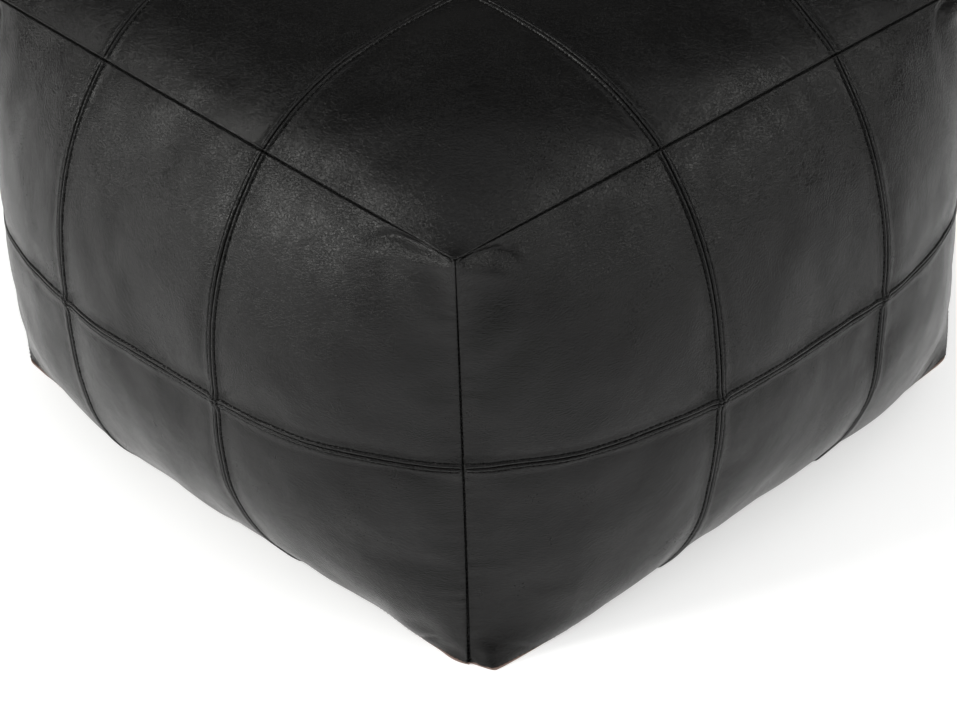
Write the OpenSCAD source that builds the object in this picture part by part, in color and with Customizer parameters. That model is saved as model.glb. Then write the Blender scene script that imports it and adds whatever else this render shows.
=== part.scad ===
// Square patchwork leather pouf, firmly stuffed.
// The origin is the middle of the base where it meets the floor, +Z is up.
// The cover is 3 x 3 panels on top and 3 x 2 panels on each side. All its
// outer faces lie on one smooth swollen form, given by side_pt() and top_pt().

/* [Cover] */
// Width of one patchwork panel, seam to seam
panel_w = 158; // [130:1:190]
// Height of the sides at the corners, base seam to top seam
side_h = 310; // [250:1:360]
// Thickness of the leather
leather = 1.4; // [1.0:0.1:2.0]
// Half of the gap that a seam leaves between two panels
seam_gap = 0.5; // [0.4:0.1:1.0]

/* [Stuffed shape] */
// How far the sides swell out at mid height
side_bulge = 57; // [35:1:65]
// How square the swell of a side is along its width
side_square = 3.4; // [2.6:0.1:4.5]
// How square the swell of a side is up its height
side_round = 2.6; // [2.2:0.1:3.5]
// How far the waist of the corner seams is drawn in from their ends
corner_pull = 4.4; // [0:0.2:8]
// Height of the crown of the top above its edges
crown = 44; // [25:1:55]
// How flat the crown is
crown_square = 5.2; // [3.5:0.1:7]
// How far the middle of a top edge bows out
top_bow = 10.8; // [4:0.2:14]
// How far the middle of a top edge bows up
top_rise = 9.6; // [4:0.2:12]
// How far the middle of a base edge bows out
base_bow = 12.6; // [6:0.2:16]

/* [Topstitching] */
// Distance of each row of topstitching from its seam
row_off = 3; // [2.4:0.1:4]
// Width of a row of thread
thread_w = 0.8; // [0.6:0.1:1.0]
// Height of the thread's underside above the leather
thread_lift = 0.15; // [0.12:0.01:0.3]

/* [Zip] */
// Travel of the slider
zip_travel = 340; // [260:5:345]
// Half width of the opening between the two base panels at the zip
slit_half = 8; // [7.5:0.1:10]
// Length of the pull tab from its pin to its tip
pull_len = 26; // [20:1:30]

/* [Stuffing] */
// Distance from the outer face of the leather to the liner bag
liner_in = 6.8; // [6.5:0.1:9]
// Thickness of the liner cloth
liner_th = 0.6; // [0.5:0.1:1.0]

/* [Hidden] */
$fn = 48;

half = 1.5 * panel_w;           // half of a top edge
total_h = side_h + crown + top_rise;
slit_x = zip_travel / 2 + 35;   // half length of the opening in the base
coil_z = 6.1;                   // height of the zip's mid plane
pin_z = 2.6;                    // height of the pull's pin
zip_x0 = zip_travel / 2;        // slider's place when the zip is closed

function g(u, n) = 1 - pow(min(1, abs(u / half)), n);
function unit(v) = v / norm(v);

// a point of the swollen form on the front side: u runs left to right, v is 0 at the base and 1 at the top edge
function side_pt(u, v) =
    let (s = 2 * v - 1, waist = corner_pull * (1 - s * s),
        out = side_bulge * g(u, side_square) * (1 - pow(abs(s), side_round)) - waist
            + g(u, 2) * (top_bow * v + base_bow * (1 - v)))
    [u * (1 - waist / half), -half - out, side_h * v + top_rise * g(u, 2) * v];
// a point of the swollen form on the top
function top_pt(x, y) =
    let (gx = g(x, 2), gy = g(y, 2))
    [x + top_bow * gy * x / half, y + top_bow * gx * y / half,
        side_h + crown * g(x, crown_square) * g(y, crown_square) + top_rise * (gx + gy - gx * gy)];
function side_nrm(u, v) =
    unit(cross(side_pt(u + 0.2, v) - side_pt(u - 0.2, v), side_pt(u, v + 0.001) - side_pt(u, v - 0.001)));
function top_nrm(x, y) =
    unit(cross(top_pt(x + 0.2, y) - top_pt(x - 0.2, y), top_pt(x, y + 0.2) - top_pt(x, y - 0.2)));

// grid lines across a panel from a to b, with one under each row of topstitching
function lines(a, b, inset) =
    [a + inset, a + max(row_off, inset + 0.6), a + (b - a) / 4, (a + b) / 2, b - (b - a) / 4, b - max(row_off, inset + 0.6), b - inset];

// a closed solid between an outer grid and an inner grid of points
module between(outer, inner) {
    n = len(outer);
    m = len(outer[0]);
    k = n * m;
    function o(i, j) = i * m + j;
    function q(i, j) = k + i * m + j;
    pts = [for (r = outer) for (p = r) p, for (r = inner) for (p = r) p];
    skin = [for (i = [0:n - 2]) for (j = [0:m - 2]) each [
        [o(i, j), o(i, j + 1), o(i + 1, j + 1)], [o(i, j), o(i + 1, j + 1), o(i + 1, j)],
        [q(i, j), q(i + 1, j), q(i + 1, j + 1)], [q(i, j), q(i + 1, j + 1), q(i, j + 1)]]];
    ends = [for (i = [0:n - 2]) each [
        [o(i, 0), o(i + 1, 0), q(i + 1, 0)], [o(i, 0), q(i + 1, 0), q(i, 0)],
        [o(i + 1, m - 1), o(i, m - 1), q(i, m - 1)], [o(i + 1, m - 1), q(i, m - 1), q(i + 1, m - 1)]]];
    flanks = [for (j = [0:m - 2]) each [
        [o(0, j + 1), o(0, j), q(0, j)], [o(0, j + 1), q(0, j), q(0, j + 1)],
        [o(n - 1, j), o(n - 1, j + 1), q(n - 1, j + 1)], [o(n - 1, j), q(n - 1, j + 1), q(n - 1, j)]]];
    polyhedron(points = pts, faces = concat(skin, ends, flanks), convexity = 4);
}

// side panels: column c is -1, 0 or 1 from left to right, row r is 0 for lower and 1 for upper
module side_panel(face, c, r) {
    a = (c - 0.5) * panel_w;
    b = (c + 0.5) * panel_w;
    za = r * side_h / 2;
    zb = (r + 1) * side_h / 2;
    us = lines(a, b, seam_gap);
    vs = lines(za, zb, seam_gap) / side_h;
    ui = lines(a, b, seam_gap + leather);
    vi = lines(za, zb, seam_gap + leather) / side_h;
    rotate([0, 0, 90 * face])
        between([for (u = us) [for (v = vs) side_pt(u, v)]],
            [for (u = ui) [for (v = vi) side_pt(u, v) - leather * side_nrm(u, v)]]);
}

module top_panel(c, r) {
    xs = lines((c - 0.5) * panel_w, (c + 0.5) * panel_w, seam_gap);
    ys = lines((r - 0.5) * panel_w, (r + 0.5) * panel_w, seam_gap);
    xi = lines((c - 0.5) * panel_w, (c + 0.5) * panel_w, seam_gap + leather);
    yi = lines((r - 0.5) * panel_w, (r + 0.5) * panel_w, seam_gap + leather);
    between([for (x = xs) [for (y = ys) top_pt(x, y)]],
        [for (x = xi) [for (y = yi) top_pt(x, y) - leather * top_nrm(x, y)]]);
}

// half of the flat base, with its edge along the zip cut back
module base_half(s) {
    e = 2.2;
    function edge(u) = half + base_bow * g(u, 2) - e;
    lim = half - e;
    side_l = [for (i = [0:10]) let (y = -0.4 - (lim - 0.4) * i / 10) [-edge(y), y]];
    front = [for (i = [1:19]) let (x = -lim + 2 * lim * i / 20) [x, -edge(x)]];
    side_r = [for (i = [10:-1:0]) let (y = -0.4 - (lim - 0.4) * i / 10) [edge(y), y]];
    slit = [[slit_x, -0.4], [slit_x, -slit_half], [-slit_x, -slit_half], [-slit_x, -0.4]];
    mirror([0, s > 0 ? 1 : 0, 0])
        linear_extrude(height = leather) polygon(concat(side_l, front, side_r, slit));
}

// a run of thread along a row of points with their outward normals
module thread_run(pts, nrm) {
    n = len(pts);
    function dir(i) = unit(pts[min(n - 1, i + 1)] - pts[max(0, i - 1)]);
    function at(i, side, h) = pts[i] + nrm[i] * h + cross(dir(i), nrm[i]) * side * thread_w / 2;
    between([for (s = [-1, 1]) [for (i = [0:n - 1]) at(i, s, thread_lift + thread_w)]],
        [for (s = [-1, 1]) [for (i = [0:n - 1]) at(i, s, thread_lift)]]);
}

module side_threads(face) {
    rotate([0, 0, 90 * face]) {
        // beside the two upright seams
        for (k = [-0.5, 0.5]) for (s = [-1, 1]) for (r = [0, 1]) {
            u = k * panel_w + s * row_off;
            ls = lines(r * side_h / 2, (r + 1) * side_h / 2, seam_gap) / side_h;
            vs = [for (i = [1:5]) ls[i]];
            thread_run([for (v = vs) side_pt(u, v)], [for (v = vs) side_nrm(u, v)]);
        }
        // beside the level seam, stopping short of the upright rows
        for (s = [-1, 1]) for (c = [-1:1]) {
            v = 0.5 + s * row_off / side_h;
            ls = lines((c - 0.5) * panel_w, (c + 0.5) * panel_w, seam_gap);
            us = [ls[1] + 1.2, ls[2], ls[3], ls[4], ls[5] - 1.2];
            thread_run([for (u = us) side_pt(u, v)], [for (u = us) side_nrm(u, v)]);
        }
    }
}

module top_threads() {
    for (q = [0, 1]) for (k = [-0.5, 0.5]) for (s = [-1, 1]) for (c = [-1:1]) {
        a = k * panel_w + s * row_off;
        ls = lines((c - 0.5) * panel_w, (c + 0.5) * panel_w, seam_gap);
        cut = q == 0 ? 0 : 1.2;
        bs = [ls[1] + cut, ls[2], ls[3], ls[4], ls[5] - cut];
        thread_run([for (b = bs) q == 0 ? top_pt(a, b) : top_pt(b, a)],
            [for (b = bs) q == 0 ? top_nrm(a, b) : top_nrm(b, a)]);
    }
}

// the stuffed body: q runs from -1 at the base's middle to 0 at its edge, 1 at the top edge and 2 at the top's middle
function skin_pt(u, q) =
    q < 0 ? let (c = 1 + q) [u * c, -(half + base_bow * g(u, 2)) * c, 0] :
    q <= 1 ? side_pt(u, q) :
    let (c = 2 - q) top_pt(u * c, -half * c);
inner_z = coil_z + 5.4;
function shrunk(p, d) =
    let (k = 1 - d / half) [p[0] * k, p[1] * k, inner_z + d - liner_in + p[2] * (total_h - 2 * d + liner_in - inner_z) / total_h];
function turned(p, f) = f == 0 ? p : turned([-p[1], p[0], p[2]], f - 1);
us_ring = [-half, -0.86 * half, -0.6 * half, -0.25 * half, 0.25 * half, 0.6 * half, 0.86 * half];
function ring(q, d) = [for (f = [0:3]) for (u = us_ring) shrunk(turned(skin_pt(u, q), f), d)];

// rings closed at the bottom, at the top, or at both, by a middle point
module blob(rings, low, high) {
    n = len(rings[0]);
    m = len(rings);
    pts = concat([low, high], [for (r = rings) each r]);
    function o(i, j) = 2 + j * n + i % n;
    faces = concat(
        [for (i = [0:n - 1]) [0, o(i, 0), o(i + 1, 0)]],
        [for (j = [0:m - 2]) for (i = [0:n - 1]) each [
            [o(i, j), o(i, j + 1), o(i + 1, j + 1)], [o(i, j), o(i + 1, j + 1), o(i + 1, j)]]],
        [for (i = [0:n - 1]) [o(i, m - 1), 1, o(i + 1, m - 1)]]);
    polyhedron(points = pts, faces = faces, convexity = 4);
}
// an open cup between two sets of rings that both start at the cup's edge
module cup(outer, inner, pole_o, pole_i, up) {
    n = len(outer[0]);
    m = len(outer);
    pts = concat([pole_o, pole_i], [for (r = outer) each r], [for (r = inner) each r]);
    function o(i, j) = 2 + j * n + i % n;
    function q(i, j) = 2 + m * n + j * n + i % n;
    // each four-cornered cell is cut along the same diagonal whether the cup opens down or up
    skin = [for (j = [0:m - 2]) for (i = [0:n - 1]) each up ? [
        [o(i, j), o(i, j + 1), o(i + 1, j + 1)], [o(i, j), o(i + 1, j + 1), o(i + 1, j)],
        [q(i, j), q(i + 1, j), q(i + 1, j + 1)], [q(i, j), q(i + 1, j + 1), q(i, j + 1)]] : [
        [o(i, j), o(i, j + 1), o(i + 1, j)], [o(i + 1, j), o(i, j + 1), o(i + 1, j + 1)],
        [q(i, j), q(i + 1, j), q(i, j + 1)], [q(i + 1, j), q(i + 1, j + 1), q(i, j + 1)]]];
    rims = [for (i = [0:n - 1]) each [
        [o(i, m - 1), 0, o(i + 1, m - 1)], [q(i, m - 1), q(i + 1, m - 1), 1],
        [o(i, 0), o(i + 1, 0), q(i + 1, 0)], [o(i, 0), q(i + 1, 0), q(i, 0)]]];
    faces = concat(skin, rims);
    polyhedron(points = pts, faces = up ? faces : [for (f = faces) [f[0], f[2], f[1]]], convexity = 6);
}
up_q = [0.503, 0.62, 0.76, 0.9, 1, 1.12, 1.3, 1.6];
dn_q = [0.497, 0.38, 0.24, 0.1, 0, -0.3, -0.7];
module liner_half(up) {
    qs = up ? up_q : dn_q;
    top = [0, 0, total_h];
    pole = up ? top : [0, 0, 0];
    cup([for (q = qs) ring(q, liner_in)], [for (q = qs) ring(q, liner_in + liner_th)],
        shrunk(pole, liner_in), shrunk(pole, liner_in + liner_th), up);
}
module stuffing_form() {
    d = liner_in + liner_th + 0.8;
    qs = [-0.7, -0.3, 0, 0.1, 0.24, 0.38, 0.5, 0.62, 0.76, 0.9, 1, 1.12, 1.3, 1.6];
    blob([for (q = qs) ring(q, d)], shrunk([0, 0, 0], d), shrunk([0, 0, total_h], d));
}

// zip parts, drawn along X
module along_x(x0, x1) {
    translate([x0, 0, 0]) rotate([90, 0, 90]) linear_extrude(height = x1 - x0) children();
}
module tape(s) {
    x1 = slit_x + 8;
    mirror([0, s < 0 ? 1 : 0, 0])
        along_x(-x1, x1)
            polygon([[3.35, coil_z - 0.25], [7, coil_z - 0.25], [13, leather + 0.15], [22, leather + 0.15],
                [22, leather + 0.65], [13.2, leather + 0.65], [7.2, coil_z + 0.25], [3.35, coil_z + 0.25]]);
}
module coil(s) {
    x1 = zip_travel / 2 + 12;
    mirror([0, s < 0 ? 1 : 0, 0])
        along_x(-x1, x1)
            polygon([[0.7, coil_z - 0.6], [1.2, coil_z - 1], [2.8, coil_z - 1], [3.3, coil_z - 0.6],
                [3.3, coil_z + 0.6], [2.8, coil_z + 1], [1.2, coil_z + 1], [0.7, coil_z + 0.6]]);
}
module stop_block(x, y0, y1) {
    translate([x - 2, y0, coil_z - 1.3]) cube([4, y1 - y0, 2.6]);
}
module plate_outline() {
    hull() {
        translate([3.2, 2.6]) circle(r = 2, $fn = 32);
        translate([3.2, -2.6]) circle(r = 2, $fn = 32);
        translate([-4.2, 2.9]) circle(r = 1.4, $fn = 32);
        translate([-4.2, -2.9]) circle(r = 1.4, $fn = 32);
    }
}

module zip_slider() {
    color("dimgray") translate([zip_x0, 0, 0]) {
        // the two wings
        for (z = [coil_z - 2.5, coil_z + 1.3])
            translate([0, 0, z]) linear_extrude(height = 1.2) plate_outline();
        // the divider between the two coils
        translate([2.2, -0.35, coil_z - 1.4]) cube([2.8, 0.7, 2.8]);
        // the turned edges of the wings, beside the coils
        for (y = [-4.3, 3.8]) for (z = [coil_z - 1.4, coil_z + 0.75])
            translate([-3.5, y, z]) cube([6.5, 0.5, 0.65]);
        // the bridge that holds the pull
        for (x = [-2.7, 1.7]) translate([x, -1.2, pin_z - 1.6]) cube([1, 2.4, coil_z - 2.4 - pin_z + 1.6]);
        translate([-2.7, -1.2, pin_z - 1.6]) cube([5.4, 2.4, 0.7]);
    }
}
module zip_pull() {
    color("dimgray") translate([zip_x0, 0, pin_z]) {
        // the pin, through the slider's bridge
        rotate([90, 0, 0]) cylinder(r = 0.75, h = 6, center = true, $fn = 48);
        for (y = [-3, 1.6]) translate([-4.6, y, -0.6]) cube([4.6, 1.4, 1.2]);
        translate([0, 0, -0.6]) linear_extrude(height = 1.2) difference() {
            hull() {
                translate([-3.7 - 1.5, 0]) square([1.4, 6], center = true);
                translate([-12, 0]) square([2, 7.4], center = true);
                translate([-pull_len + 3.6, 0]) circle(r = 3.6, $fn = 48);
            }
            translate([-pull_len + 4.2, 0]) circle(r = 1.5, $fn = 48);
        }
    }
}
module zip_tape_front() { color("black") tape(-1); }
module zip_tape_back() { color("black") tape(1); }
module zip_coil_front() { color("black") coil(-1); }
module zip_coil_back() { color("black") coil(1); }
module zip_top_stops() {
    color("dimgray") {
        stop_block(zip_x0 + 16, 0.9, 4.2);
        stop_block(zip_x0 + 16, -4.2, -0.9);
    }
}
module zip_bottom_stop() { color("dimgray") stop_block(-zip_x0 - 16, -3.9, 3.9); }

module leather_colour() { color([0.09, 0.085, 0.085]) children(); }

module top_front_left() { leather_colour() top_panel(-1, -1); }
module top_front_middle() { leather_colour() top_panel(0, -1); }
module top_front_right() { leather_colour() top_panel(1, -1); }
module top_middle_left() { leather_colour() top_panel(-1, 0); }
module top_centre() { leather_colour() top_panel(0, 0); }
module top_middle_right() { leather_colour() top_panel(1, 0); }
module top_back_left() { leather_colour() top_panel(-1, 1); }
module top_back_middle() { leather_colour() top_panel(0, 1); }
module top_back_right() { leather_colour() top_panel(1, 1); }

module front_upper_left() { leather_colour() side_panel(0, -1, 1); }
module front_upper_middle() { leather_colour() side_panel(0, 0, 1); }
module front_upper_right() { leather_colour() side_panel(0, 1, 1); }
module front_lower_left() { leather_colour() side_panel(0, -1, 0); }
module front_lower_middle() { leather_colour() side_panel(0, 0, 0); }
module front_lower_right() { leather_colour() side_panel(0, 1, 0); }
module right_upper_left() { leather_colour() side_panel(1, -1, 1); }
module right_upper_middle() { leather_colour() side_panel(1, 0, 1); }
module right_upper_right() { leather_colour() side_panel(1, 1, 1); }
module right_lower_left() { leather_colour() side_panel(1, -1, 0); }
module right_lower_middle() { leather_colour() side_panel(1, 0, 0); }
module right_lower_right() { leather_colour() side_panel(1, 1, 0); }
module back_upper_left() { leather_colour() side_panel(2, -1, 1); }
module back_upper_middle() { leather_colour() side_panel(2, 0, 1); }
module back_upper_right() { leather_colour() side_panel(2, 1, 1); }
module back_lower_left() { leather_colour() side_panel(2, -1, 0); }
module back_lower_middle() { leather_colour() side_panel(2, 0, 0); }
module back_lower_right() { leather_colour() side_panel(2, 1, 0); }
module left_upper_left() { leather_colour() side_panel(3, -1, 1); }
module left_upper_middle() { leather_colour() side_panel(3, 0, 1); }
module left_upper_right() { leather_colour() side_panel(3, 1, 1); }
module left_lower_left() { leather_colour() side_panel(3, -1, 0); }
module left_lower_middle() { leather_colour() side_panel(3, 0, 0); }
module left_lower_right() { leather_colour() side_panel(3, 1, 0); }

module base_front() { color([0.62, 0.47, 0.36]) base_half(-1); }
module base_back() { color([0.62, 0.47, 0.36]) base_half(1); }
module topstitch_top() { color([0.05, 0.05, 0.05]) top_threads(); }
module topstitch_front() { color([0.05, 0.05, 0.05]) side_threads(0); }
module topstitch_right() { color([0.05, 0.05, 0.05]) side_threads(1); }
module topstitch_back() { color([0.05, 0.05, 0.05]) side_threads(2); }
module topstitch_left() { color([0.05, 0.05, 0.05]) side_threads(3); }
module liner_upper() { color("ivory") liner_half(true); }
module liner_lower() { color("ivory") liner_half(false); }
module stuffing() { color("white") stuffing_form(); }

top_front_left();
top_front_middle();
top_front_right();
top_middle_left();
top_centre();
top_middle_right();
top_back_left();
top_back_middle();
top_back_right();
front_upper_left();
front_upper_middle();
front_upper_right();
front_lower_left();
front_lower_middle();
front_lower_right();
right_upper_left();
right_upper_middle();
right_upper_right();
right_lower_left();
right_lower_middle();
right_lower_right();
back_upper_left();
back_upper_middle();
back_upper_right();
back_lower_left();
back_lower_middle();
back_lower_right();
left_upper_left();
left_upper_middle();
left_upper_right();
left_lower_left();
left_lower_middle();
left_lower_right();
base_front();
base_back();
topstitch_top();
topstitch_front();
topstitch_right();
topstitch_back();
topstitch_left();
zip_tape_front();
zip_tape_back();
zip_coil_front();
zip_coil_back();
zip_top_stops();
zip_bottom_stop();
zip_slider();
zip_pull();
liner_upper();
liner_lower();
stuffing();
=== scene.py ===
import math
import bpy
import numpy as np
from mathutils import Matrix, Vector


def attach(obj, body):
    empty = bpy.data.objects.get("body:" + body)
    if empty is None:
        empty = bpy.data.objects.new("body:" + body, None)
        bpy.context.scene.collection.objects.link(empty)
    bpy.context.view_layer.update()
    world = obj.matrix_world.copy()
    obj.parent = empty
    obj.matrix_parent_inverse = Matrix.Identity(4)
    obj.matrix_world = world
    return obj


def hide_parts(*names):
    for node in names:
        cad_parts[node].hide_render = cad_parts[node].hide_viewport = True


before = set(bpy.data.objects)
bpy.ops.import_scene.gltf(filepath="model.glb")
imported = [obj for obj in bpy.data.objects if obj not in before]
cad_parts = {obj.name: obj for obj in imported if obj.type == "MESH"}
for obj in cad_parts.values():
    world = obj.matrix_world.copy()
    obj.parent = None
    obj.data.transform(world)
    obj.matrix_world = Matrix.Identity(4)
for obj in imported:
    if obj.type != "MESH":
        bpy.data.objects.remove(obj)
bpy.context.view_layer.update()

MM = 0.001
rng = np.random.default_rng(7)

# ------------------------------------------------------------------ the swollen form, in mm, as in the CAD
PW, SIDE_H = 158.0, 310.0
HALF = 1.5 * PW
BULGE, SQ, ROUND, WAIST = 57.0, 3.4, 2.6, 4.4
CROWN, CSQ, TBOW, TRISE, BBOW = 44.0, 5.2, 10.8, 9.6, 12.6


def g(u, n):
    return 1 - np.minimum(1, np.abs(u / HALF)) ** n


def side_pt(u, v):
    s = 2 * v - 1
    waist = WAIST * (1 - s * s)
    out = BULGE * g(u, SQ) * (1 - np.abs(s) ** ROUND) - waist + g(u, 2) * (TBOW * v + BBOW * (1 - v))
    return np.stack([u * (1 - waist / HALF), -HALF - out, SIDE_H * v + TRISE * g(u, 2) * v], -1)


def top_pt(x, y):
    gx, gy = g(x, 2), g(y, 2)
    return np.stack([x + TBOW * gy * x / HALF, y + TBOW * gx * y / HALF,
                     SIDE_H + CROWN * g(x, CSQ) * g(y, CSQ) + TRISE * (gx + gy - gx * gy)], -1)


def turn(p, k):
    """p turned k quarter turns about Z, from the front side to side k."""
    x, y, z = p[..., 0], p[..., 1], p[..., 2]
    for _ in range(k % 4):
        x, y = -y, x
    return np.stack([x, y, z], -1)


def unit(v):
    return v / np.maximum(np.linalg.norm(v, axis=-1, keepdims=True), 1e-9)


def smooth(a, b, x):
    t = np.clip((x - a) / (b - a), 0, 1)
    return t * t * (3 - 2 * t)


class Waves:
    """A smooth random field of position: a sum of plane waves of about one wavelength."""

    def __init__(self, seed, low, high, n=22, dims=3):
        r = np.random.default_rng(seed)
        k = r.normal(size=(n, dims))
        k /= np.linalg.norm(k, axis=1, keepdims=True)
        self.k = k * (2 * np.pi / r.uniform(low, high, n))[:, None]
        self.p = r.uniform(0, 2 * np.pi, n)
        self.a = math.sqrt(2 / n)

    def __call__(self, x):
        x = np.asarray(x, float)
        if x.ndim == 0 or self.k.shape[1] == 1:
            x = x[..., None]
        out = np.zeros(x.shape[:-1])
        for k, p in zip(self.k, self.p):
            out += np.cos(x @ k + p)
        return out * self.a


# ------------------------------------------------------------------ cloth simulation of the whole cover
CELLS = 16                     # cells across one panel
NF = 3 * CELLS                 # cells across a face
NV = 2 * CELLS                 # cells up a side


def cover_nodes():
    """Nodes of the cover on a regular grid: sides in rings, top and base as squares that share the sides' edges."""
    us = np.linspace(-HALF, HALF, NF + 1)
    vs = np.linspace(0, 1, NV + 1)
    pts, ring = [], np.zeros((4 * NF, NV + 1), int)
    for f in range(4):
        for i in range(NF):
            p = turn(side_pt(np.full(NV + 1, us[i]), vs), f)
            for j in range(NV + 1):
                ring[f * NF + i, j] = len(pts)
                pts.append(p[j])
    top = np.zeros((NF + 1, NF + 1), int)
    base = np.zeros((NF + 1, NF + 1), int)
    for grid, row, at in ((top, NV, lambda x, y: top_pt(np.array(x), np.array(y))),
                          (base, 0, lambda x, y: np.array([x * (1 + BBOW * g(y, 2) / HALF), y * (1 + BBOW * g(x, 2) / HALF), 0]))):
        for a in range(NF + 1):
            for b in range(NF + 1):
                if b == 0:
                    grid[a, b] = ring[a % (4 * NF), row]
                elif a == NF:
                    grid[a, b] = ring[NF + b if b < NF else 2 * NF, row]
                elif b == NF:
                    grid[a, b] = ring[2 * NF + (NF - a), row] if a > 0 else ring[3 * NF, row]
                elif a == 0:
                    grid[a, b] = ring[3 * NF + (NF - b), row]
                else:
                    grid[a, b] = len(pts)
                    pts.append(at(us[a], us[b]))
    faces = []
    n = 4 * NF
    for i in range(n):
        for j in range(NV):
            faces.append((ring[i, j], ring[(i + 1) % n, j], ring[(i + 1) % n, j + 1], ring[i, j + 1]))
    for a in range(NF):
        for b in range(NF):
            faces.append((top[a, b], top[a + 1, b], top[a + 1, b + 1], top[a, b + 1]))
            faces.append((base[a, b], base[a, b + 1], base[a + 1, b + 1], base[a + 1, b]))
    return np.array(pts), faces, ring, top, base


def simulate():
    """Inflates the cover inside its seams and returns how far each node moved, in mm."""
    pts, faces, ring, top, base = cover_nodes()
    me = bpy.data.meshes.new("cover_sim")
    me.from_pydata([tuple(p * MM) for p in pts], [], [tuple(map(int, f)) for f in faces])
    me.update()
    ob = bpy.data.objects.new("cover_sim", me)
    bpy.context.scene.collection.objects.link(ob)
    # the seams are a little shorter than the leather between them, unevenly so, and draw in
    seam = np.zeros(len(pts))
    for i in range(4 * NF):
        for j in range(NV + 1):
            if i % CELLS == 0 or j % CELLS == 0:
                seam[ring[i, j]] = 1.0
    for a in range(NF + 1):
        for b in range(NF + 1):
            if a % CELLS == 0 or b % CELLS == 0:
                seam[top[a, b]] = 1.0
    vg = ob.vertex_groups.new(name="seam")
    noise = Waves(3, 50, 130)(pts)
    for i, s in enumerate(seam):
        vg.add([i], float(np.clip(s * 0.7 + 0.22 + 0.16 * noise[i], 0, 1)), "REPLACE")
    pin = ob.vertex_groups.new(name="pin")
    for i in set(base.ravel().tolist()):
        pin.add([i], 1.0, "REPLACE")
    m = ob.modifiers.new("Cloth", "CLOTH")
    s = m.settings
    s.quality = 8
    s.mass = 0.25
    s.tension_stiffness = s.compression_stiffness = 30
    s.shear_stiffness = 12
    s.bending_stiffness = 1.0
    s.tension_damping = s.compression_damping = 12
    s.shear_damping = 10
    s.air_damping = 4
    s.use_pressure = True
    s.uniform_pressure_force = 4
    s.effector_weights.gravity = 0
    s.vertex_group_mass = "pin"
    s.pin_stiffness = 1
    s.vertex_group_shrink = "seam"
    s.shrink_min = -0.030
    s.shrink_max = 0.014
    m.collision_settings.use_collision = False
    m.collision_settings.use_self_collision = False
    sc = bpy.context.scene
    m.point_cache.frame_start, m.point_cache.frame_end = 1, 24
    for fr in range(1, 25):
        sc.frame_set(fr)
    dg = bpy.context.evaluated_depsgraph_get()
    ev = ob.evaluated_get(dg)
    out = np.zeros(len(pts) * 3)
    ev.data.vertices.foreach_get("co", out)
    out = out.reshape(-1, 3) / MM
    bpy.data.objects.remove(ob)
    bpy.data.meshes.remove(me)
    sc.frame_set(1)
    return out - pts, ring, top, base


def panel_fields(D, ring, top):
    """The sim's movement for each panel, on its own grid, with the drift of the seams themselves mostly taken out."""
    def coons(F):
        n, m = F.shape[0] - 1, F.shape[1] - 1
        a = np.linspace(0, 1, n + 1)[:, None, None]
        b = np.linspace(0, 1, m + 1)[None, :, None]
        c = (1 - b) * F[:, :1] + b * F[:, -1:] + (1 - a) * F[:1] + a * F[-1:]
        return c - ((1 - a) * (1 - b) * F[0, 0] + a * (1 - b) * F[-1, 0] + (1 - a) * b * F[0, -1] + a * b * F[-1, -1])

    out = {}
    for f in range(4):
        cols = [(f * NF + i) % (4 * NF) for i in range(NF + 1)]
        F = turn(D[ring[cols]], -f)
        for c in range(3):
            for r in range(2):
                P = F[c * CELLS:(c + 1) * CELLS + 1, r * CELLS:(r + 1) * CELLS + 1]
                out["side", f, c - 1, r] = P - coons(P)
    F = D[top]
    for c in range(3):
        for r in range(3):
            P = F[c * CELLS:(c + 1) * CELLS + 1, r * CELLS:(r + 1) * CELLS + 1]
            out["top", 0, c - 1, r - 1] = P - coons(P)
    return out


def spline(F, x, y):
    """Uniform cubic B-spline through a small grid of vectors; x and y are in cells."""
    n, m = F.shape[0], F.shape[1]
    E = np.zeros((n + 2, m + 2, F.shape[2]))
    E[1:-1, 1:-1] = F
    E[0, 1:-1], E[-1, 1:-1] = 2 * F[0] - F[1], 2 * F[-1] - F[-2]
    E[:, 0], E[:, -1] = 2 * E[:, 1] - E[:, 2], 2 * E[:, -2] - E[:, -3]

    def w(t):
        return ((1 - t) ** 3 / 6, (3 * t ** 3 - 6 * t * t + 4) / 6, (-3 * t ** 3 + 3 * t * t + 3 * t + 1) / 6, t ** 3 / 6)

    i = np.clip(np.floor(x), 0, n - 2).astype(int)
    j = np.clip(np.floor(y), 0, m - 2).astype(int)
    wx, wy = w(x - i), w(y - j)
    out = 0
    for p in range(4):
        for q in range(4):
            out = out + (wx[p] * wy[q])[..., None] * E[i + p, j + q]
    return out


# ------------------------------------------------------------------ seams and fine shape
PITCH = 3.5                    # length of one stitch
ROW = 3.0                      # a row of topstitching from its seam
dents = Waves(11, 70, 150, 20)
dimples = Waves(12, 26, 50, 26)
ripple = Waves(13, 9, 16, 26)
gather = Waves(14, 3.4, 7.0, 16, 1)
gather2 = Waves(15, 7.0, 15.0, 14, 1)
wander = Waves(16, 40, 120, 8, 1)
AMOUNT = {"sim": 1.0}


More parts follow.
